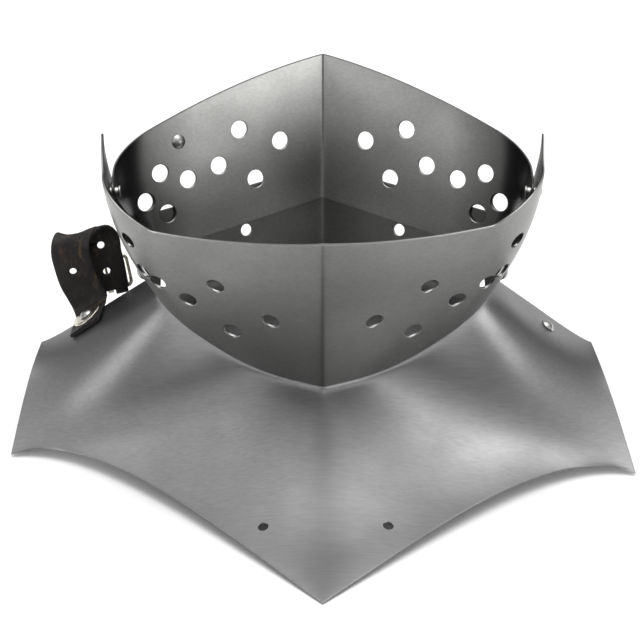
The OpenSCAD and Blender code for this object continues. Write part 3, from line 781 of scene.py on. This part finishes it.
# ---------------------------------------------------------------- strap and buckle
STRAP_W, STRAP_T, STRAP_GAP = 21.0, 2.2, 0.3
WIRE_R = 1.0
LOOP_BORE_R = WIRE_R + 0.35
LOOP_R = LOOP_BORE_R + STRAP_T / 2
STRAP_ACROSS = unit(bib_point(STRAP_S, 0.63) - bib_point(STRAP_S, 0.53))
STRAP_BACK = unit(np.cross(STRAP_ACROSS, STRAP_N))
BAR_P = STRAP_P + np.array([10.5, 26, 3.5])
BAR_DIR = unit([0.95, 0.2, 0.15])
FRAME_LEAN = np.array([-0.27, 0.3, 0.915])
FRAME_UP = unit(FRAME_LEAN - np.dot(FRAME_LEAN, BAR_DIR) * BAR_DIR)
BAR_OUT = np.cross(BAR_DIR, FRAME_UP)
UPRIGHT_ACROSS = unit([0.94, 0.1, 0.32])
STRAP_BENDS = [(-0.2, 10.8, 2.4), (-1.4, 12.6, 5.4), (-3.5, 13.5, 9.5), (-7, 14.5, 17), (-9.5, 15.5, 25.5),
               (-11, 16.5, 32.5), (-10.5, 18, 37), (-8.5, 21, 39.5), (-5.5, 25.5, 39), (-2.5, 29.5, 35)]


def fall_point(length):
    return BAR_P + BAR_OUT * LOOP_R + FRAME_UP * length


def strap_control():
    """The strap's middle line and the direction across it, as in the CAD strap."""
    lift = STRAP_N * (STRAP_GAP + STRAP_T / 2)
    line = [STRAP_P + lift + STRAP_BACK * k for k in (-11, -3, 4, 7.5)]
    line += [STRAP_P + np.array(q) for q in STRAP_BENDS]
    line += [fall_point(k) for k in (29, 22, 15, 8, 0)]
    turn, n = 3, len(line)
    sides = []
    for k in range(n):
        if k <= turn:
            side = -STRAP_ACROSS
        elif k <= turn + 4:
            side = unit(mix(-STRAP_ACROSS, UPRIGHT_ACROSS, (k - turn) / 4))
        else:
            side = unit(mix(UPRIGHT_ACROSS, BAR_DIR, (k - turn - 4) / (n - turn - 5)))
        sides.append(side)
    return line, sides


def through(points, per):
    """A smooth line through points (Catmull-Rom)."""
    points = [np.asarray(p, float) for p in points]
    ends = [2 * points[0] - points[1]] + points + [2 * points[-1] - points[-2]]
    out = []
    for k in range(len(points) - 1):
        a, b, c, d = ends[k:k + 4]
        for i in range(per):
            t = i / per
            square = 2 * a - 5 * b + 4 * c - d
            cube = 3 * b - a - 3 * c + d
            out.append(0.5 * (2 * b + (c - a) * t + square * t * t + cube * t**3))
    out.append(points[-1])
    return out


def band(line, sides, width, thick, seed, wear):
    """A leather band with rounded edges along a line; returns vertices and faces."""
    half, r = width / 2, thick * 0.42
    profile = []
    flats = [mix(-half + r, half - r, k / 10) for k in range(11)]
    for x in flats:
        profile.append((x, -thick / 2))
    for k in range(1, 6):
        a = -math.pi / 2 + math.pi * k / 6
        profile.append((half - r + r * math.cos(a), thick / 2 * math.sin(a)))
    for x in reversed(flats):
        profile.append((x, thick / 2))
    for k in range(1, 6):
        a = math.pi / 2 + math.pi * k / 6
        profile.append((-half + r + r * math.cos(a), thick / 2 * math.sin(a)))
    n, m = len(line), len(profile)
    verts, faces = [], []
    for k in range(n):
        along = unit(line[min(k + 1, n - 1)] - line[max(k - 1, 0)])
        w = unit(sides[k] - np.dot(sides[k], along) * along)
        up = np.cross(along, w)
        for x, h in profile:
            q = line[k] + w * x + up * h
            q = q + up * wear * noise.noise(Vector(q) * 0.16 + Vector((seed, 0, 0)))
            q = q + w * wear * 0.6 * noise.noise(Vector(q) * 0.11 + Vector((0, seed, 5)))
            verts.append(q)
    for k in range(n - 1):
        for i in range(m):
            j = (i + 1) % m
            faces.append((k * m + i, k * m + j, (k + 1) * m + j, (k + 1) * m + i))
    faces.append(tuple(range(m - 1, -1, -1)))
    faces.append(tuple((n - 1) * m + i for i in range(m)))
    return verts, faces


def tube(line, radius, closed, turns, end=1.0):
    """A round wire along a line; its radius tapers to the factor end where the line ends."""
    n = len(line)
    verts, faces = [], []
    last = None
    for k in range(n):
        if closed:
            along = unit(line[(k + 1) % n] - line[k - 1])
        else:
            along = unit(line[min(k + 1, n - 1)] - line[max(k - 1, 0)])
        if last is None:
            a, b = basis(along, BAR_OUT)
        else:
            a = unit(last - np.dot(last, along) * along)
            b = np.cross(along, a)
        last = a
        t = k / (n - 1)
        r = radius * mix(end, 1, min((1 - t) * 6, 1))
        for i in range(turns):
            ang = 2 * math.pi * i / turns
            verts.append(line[k] + (a * math.cos(ang) + b * math.sin(ang)) * r)
    last_ring = n if closed else n - 1
    for k in range(last_ring):
        for i in range(turns):
            j = (i + 1) % turns
            m = (k + 1) % n
            faces.append((k * turns + i, k * turns + j, m * turns + j, m * turns + i))
    if not closed:
        faces.append(tuple(range(turns - 1, -1, -1)))
        faces.append(tuple((n - 1) * turns + i for i in range(turns)))
    return verts, faces


def at_bar(x, y, z):
    return BAR_P + BAR_DIR * x + FRAME_UP * y + BAR_OUT * z


FRAME_W, FRAME_H, FRAME_R = 24.6, 17.0, 2.6
PRONG_R, PRONG_W, PRONG_SLOT = 0.9, 3.0, 5.4
PUNCH_D, RIVET_HOLE_D = 4.0, 4.1


def ring_parts(x, width, low, high):
    """A ring round the bar with eased edges, centred at x along it."""
    half, eased = width / 2, 0.3
    profile = [(low, -half), (high - eased, -half), (high, eased - half), (high, half - eased),
               (high - eased, half), (low, half), (low, -half)]
    return lathe(profile, at_bar(x, 0, 0), BAR_DIR, 40)


def punched(p, n):
    """A cutter for a buckle hole through a strap whose middle is at p."""
    return hole(p + n * STRAP_T / 2, n, PUNCH_D, 0.15, 24, STRAP_T)


def strap_rivet_hole(p, n):
    """A cutter for a rivet's hole through a strap that lies on a plate at p."""
    return hole(p + n * 2.5, n, RIVET_HOLE_D, 0.1, 24, STRAP_T)


def leather_band(name, line, sides, width, seed, wear, punches, body, node):
    """A strap of leather with its holes punched."""
    verts, faces = band(line, sides, width, STRAP_T, seed, wear)
    obj = new_object(name, to_frame(verts), faces, LEATHER, body)
    turned_right_way(obj)
    cut(obj, punches)
    obj.data.polygons.foreach_set("use_smooth", [True] * len(obj.data.polygons))
    obj.data.set_sharp_from_angle(angle=math.radians(55))
    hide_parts(node)


def make_strap():
    line, sides = strap_control()
    smooth_line = through(line, 7)
    smooth_sides = [unit(s) for s in through(sides, 7)]
    width = min(STRAP_W, FRAME_W - 2 * FRAME_R - 0.6)
    loop_w = (width - PRONG_SLOT) / 2
    a = STRAP_P + np.array(STRAP_BENDS[4]) - np.array([0, 0, 4])
    a_n = unit(np.cross(np.subtract(STRAP_BENDS[5], STRAP_BENDS[3]), UPRIGHT_ACROSS))
    punches = [strap_rivet_hole(STRAP_P, STRAP_N), punched(a, a_n)]
    punches += [punched(fall_point(k), BAR_OUT) for k in (11, 26)]
    leather_band("shoulder_strap", smooth_line, smooth_sides, STRAP_W, 3.0, 0.35, punches, "front_half",
                 "buckle_strap")
    offset = (width - loop_w) / 2
    loops = [ring_parts(side * offset, loop_w, LOOP_BORE_R, LOOP_R + STRAP_T / 2) for side in (-1, 1)]
    fitting("strap_loops", loops, LEATHER, "front_half", "buckle_strap")


def make_buckle():
    half, r = FRAME_W / 2, FRAME_R
    corners = [(half - r, FRAME_H - r, 0), (r - half, FRAME_H - r, 90),
               (r - half, r, 180), (half - r, r, 270)]
    line = []
    for x, y, turn in corners:
        for k in range(7):
            a = math.radians(turn + 15 * k)
            line.append(at_bar(x + r * math.cos(a), y + r * math.sin(a), 0))
    dense = []
    for k in range(len(line)):
        a, b = line[k], line[(k + 1) % len(line)]
        steps = max(int(np.linalg.norm(b - a) / 1.5), 1)
        dense += [mix(a, b, i / steps) for i in range(steps)]
    wire = tube(dense, WIRE_R, True, 16)
    fitting("buckle_wire", [wire], NICKEL, "buckle_frame", "buckle_frame")
    lift = -(WIRE_R + PRONG_R + 0.3)
    prong = [at_bar(0, 1.58, lift), at_bar(0, 4, lift - 0.05), at_bar(0, 9, lift), at_bar(0, 14, lift + 0.02),
             at_bar(0, 17.6, lift)]
    eye = ring_parts(0, PRONG_W, WIRE_R + 0.08, WIRE_R + 1.18)
    tongue = tube(through(prong, 6), PRONG_R, False, 14, 0.45)
    fitting("buckle_tongue", [eye, tongue], NICKEL, "buckle_prong", "buckle_prong")


def make_billet():
    lift = COLLAR_OUT + BILLET_GAP + STRAP_T / 2
    line, sides = [], []
    for k in range(33):
        t = k / 32
        s = -mix(BILLET_S + 0.05, BILLET_END_S, t)
        z = mix(BILLET_Z + 1.5, BILLET_END_Z, t)
        line.append(wall_point(False, s, z, lift, 0))
        upward = wall_point(False, s, z + 1, COLLAR_OUT, 0) - wall_point(False, s, z - 1, COLLAR_OUT, 0)
        sides.append(unit(upward))
    punches = [strap_rivet_hole(*BILLET)]
    leather_band("billet_leather", line, sides, BILLET_W, 8.0, 0.15, punches, "rear_half", "billet_strap")


# ---------------------------------------------------------------- plates
# Breathing holes, each pair at a distance from the middle and a height.
FRONT_BREATHS = [(27.7, 97), (48.6, 82), (57, 116), (72, 100), (88.4, 108.5), (96.2, 113), (104, 134.5)]
REAR_BREATHS = [(24, 133), (46.3, 144.5), (37.4, 117), (57.3, 129), (74, 126.5), (89, 133.5),
                (97, 121), (85, 112)]
BREATH_D = 9.8
LACE_D = 5.2
REAR_HOLE_D, REAR_HOLE_X, REAR_HOLE_Z = 6.6, 42.5, 91.0


def breath_cutters(front, spots, out, end_depth):
    parts = []
    for x, z in spots:
        for side in (-1, 1):
            s = side * s_at(front, x, z, out, end_depth)
            parts.append(hole(*on_wall(front, s, z, out, end_depth), BREATH_D))
    return parts


def ear_cutters():
    r, reach = PIN_R + 0.05, 4
    profile = [(0, -reach), (r, -reach), (r, reach), (0, reach)]
    return [lathe(profile, np.array([x, PIVOT_Y, PIVOT_Z]), (1, 0, 0), 40) for x in (-115.0, 115.0)]


def rivet_cutters(spots, below=0.0):
    """Cutters for rivet holes in a plate that lies below the plate the rivet heads sit on."""
    return [hole(p - n * below, n, RIVET_HOLE_D, 0.1, 24) for p, n in spots]


def columns(values, point, rows):
    return np.array([[point(s, v) for v in rows] for s in values])


def rows_to(n):
    """n + 1 even steps from 0 to 1."""
    return [k / n for k in range(n + 1)]


def make_walls(sides, joints):
    rows = rows_to(56)
    face = columns(crease_columns(88, 1.0), face_grid_point, rows)
    cutters = breath_cutters(True, FRONT_BREATHS, 0, -10) + rivet_cutters(sides) + ear_cutters()
    plate("face_plate_steel", "face_plate", "front_half", face, INSIDE_SHADED_STEEL, cutters, 2.0)

    rear = columns(list(reversed(crease_columns(88, 1.0))), rear_grid_point, rows)
    cutters = breath_cutters(False, REAR_BREATHS, REAR_OUT, 0) + ear_cutters() + rivet_cutters([REAR_STUD])
    cutters += rivet_cutters(joints, SHEET + LAP_GAP)
    plate("rear_plate_steel", "rear_upper_plate", "rear_half", rear, INSIDE_SHADED_STEEL, cutters, 5.0)


def make_collar(joints):
    steps = 60
    collar = columns(list(reversed(crease_columns(80, COLLAR_END_S))), collar_grid_point, rows_to(steps))
    softened(collar, round(SKIRT_SPAN * steps), 3, 4)
    hole_s = s_at(False, REAR_HOLE_X, REAR_HOLE_Z, COLLAR_OUT, 0)
    spots = [on_wall(False, s, REAR_HOLE_Z, COLLAR_OUT) for s in (-hole_s, hole_s)]
    cutters = [hole(p, n, REAR_HOLE_D) for p, n in spots] + rivet_cutters(joints) + rivet_cutters([BILLET])
    plate("rear_collar_steel", "rear_collar_plate", "rear_half", collar, SHADED_COLLAR_STEEL, cutters, 7.0)


def make_bib(sides):
    steps = 75
    bend_row = round(BIB_SPAN * steps)
    values = crease_columns(110, 1.0)
    bib = columns(values, bib_grid_point, rows_to(steps))
    dressed_round(bib, values, bend_row, 420)
    softened(bib, bend_row, 2, 3)
    laces = [onto(bib, bib_point(s, 0.82)) for s in (-0.073, 0.081)]
    cutters = [hole(p, n, LACE_D) for p, n in laces] + rivet_cutters([SHOULDER, (STRAP_P, STRAP_N)])
    cutters += rivet_cutters(sides, SHEET + LAP_GAP)
    plate("bib_steel", "front_bib", "front_half", bib, PLATE_STEEL, cutters, 11.0)


def make_strap_rivet(name, spot, washer_r, seat, burr_gap, body):
    """A rivet with a washer on a strap; seat is the washer's height over the plate."""
    p, n = spot
    washer = washer_parts(p + n * seat, n, washer_r, WASHER_T)
    fitting(name + "_washer_disc", [washer], NICKEL, body, name + "_washer")
    grip = SHEET + seat + WASHER_T + SEAT_GAP + burr_gap - BURR_GAP
    rivet = rivet_parts(p + n * (seat + WASHER_T + SEAT_GAP), n, grip)
    fitting(name + "_rivet_steel", [rivet], RIVET_STEEL, body, name + "_rivet")
    burr = burr_parts(p - n * (SHEET + burr_gap), n)
    fitting(name + "_burr_steel", [burr], RIVET_STEEL, body, name + "_burr")


def make_fasteners(sides, joints):
    make_pairs("side", sides, LAP_GRIP, "front_half", "side_rivets", "side_burrs")
    make_pairs("rear_joint", joints, LAP_GRIP, "rear_half", "rear_joint_rivets", "rear_joint_burrs")
    p, n = REAR_STUD
    make_pairs("rear_stud", [(p - n * SHEET, -n)], SHEET, "rear_half", "rear_stud", "rear_stud_burr")
    make_pairs("shoulder", [SHOULDER], SHEET, "front_half", "shoulder_rivet", "shoulder_burr")
    make_ear_pivot("ear_pivot_steel_right", 1, 4.5, 2.7, "ear_pivot_right")
    make_ear_pivot("ear_pivot_steel_left", -1, 4.0, 0.8, "ear_pivot_left")
    strap_seat = STRAP_GAP + STRAP_T + SEAT_GAP
    make_strap_rivet("strap", (STRAP_P, STRAP_N), 8.75, strap_seat, BURR_GAP, "front_half")
    billet_seat = BILLET_GAP + STRAP_T + SEAT_GAP
    make_strap_rivet("billet", BILLET, 5.5, billet_seat, BILLET_BURR_GAP, "rear_half")


side_spots = [side_rivet(-1), side_rivet(1)]
joint_spots = [rear_joint(-1), rear_joint(1)]
make_walls(side_spots, joint_spots)
make_collar(joint_spots)
make_bib(side_spots)
make_fasteners(side_spots, joint_spots)
make_strap()
make_buckle()
make_billet()

# ---------------------------------------------------------------- stage, light, camera
FLOOR = 4.0
floor_corners = [(-FLOOR, -FLOOR, 0), (FLOOR, -FLOOR, 0), (FLOOR, FLOOR, 0), (-FLOOR, FLOOR, 0)]
floor_mesh = bpy.data.meshes.new("floor")
floor_mesh.from_pydata(floor_corners, [], [(0, 1, 2, 3)])
floor = bpy.data.objects.new("floor", floor_mesh)
floor.data.materials.append(floor_paint("floor_paint"))
bpy.context.scene.collection.objects.link(floor)


LIT_POINT = Vector((0, 0, 0.08))


def area_light(name, where, size, power):
    data = bpy.data.lights.new(name, "AREA")
    data.shape = "RECTANGLE"
    data.size, data.size_y = size
    data.energy = power
    lamp = bpy.data.objects.new(name, data)
    bpy.context.scene.collection.objects.link(lamp)
    lamp.location = where
    lamp.rotation_euler = (LIT_POINT - Vector(where)).to_track_quat("-Z", "Y").to_euler()


area_light("soft_top", (0.1, 0.2, 2.6), (2.6, 2.2), 52)
area_light("soft_right", (2.3, -1.5, 0.5), (1.8, 1.0), 24)
area_light("soft_left", (-2.3, -1.4, 0.8), (1.4, 1.2), 12)

world = bpy.data.worlds.new("studio")
bpy.context.scene.world = world
world.use_nodes = True
sky = world.node_tree
back = sky.nodes["Background"]
coord = sky.nodes.new("ShaderNodeTexCoord")
split = sky.nodes.new("ShaderNodeSeparateXYZ")
link(sky, coord.outputs["Generated"], split.inputs["Vector"])
height = ramp(sky, split.outputs["Z"], [(0.0, 0.30), (0.16, 0.16), (0.38, 0.45), (0.75, 1.0)])
link(sky, height, back.inputs["Strength"])
back.inputs["Color"].default_value = (1.0, 1.0, 1.0, 1)

ELEVATION = math.radians(30.5)
VIEW_DISTANCE = 3.0
rim_point = Vector(to_frame((0, -96, 168)))
aim = Vector(to_frame((-1.4, -115.8, 134.3)))
camera_data = bpy.data.cameras.new("camera")
camera_data.lens = 324
camera_data.sensor_width = 36
camera_data.clip_end = 20
camera = bpy.data.objects.new("camera", camera_data)
bpy.context.scene.collection.objects.link(camera)
camera.location = rim_point - VIEW_DISTANCE * Vector((0, math.cos(ELEVATION), -math.sin(ELEVATION)))
camera.rotation_euler = (aim - camera.location).to_track_quat("-Z", "Y").to_euler()
bpy.context.scene.camera = camera
bpy.context.scene.view_settings.view_transform = "Standard"
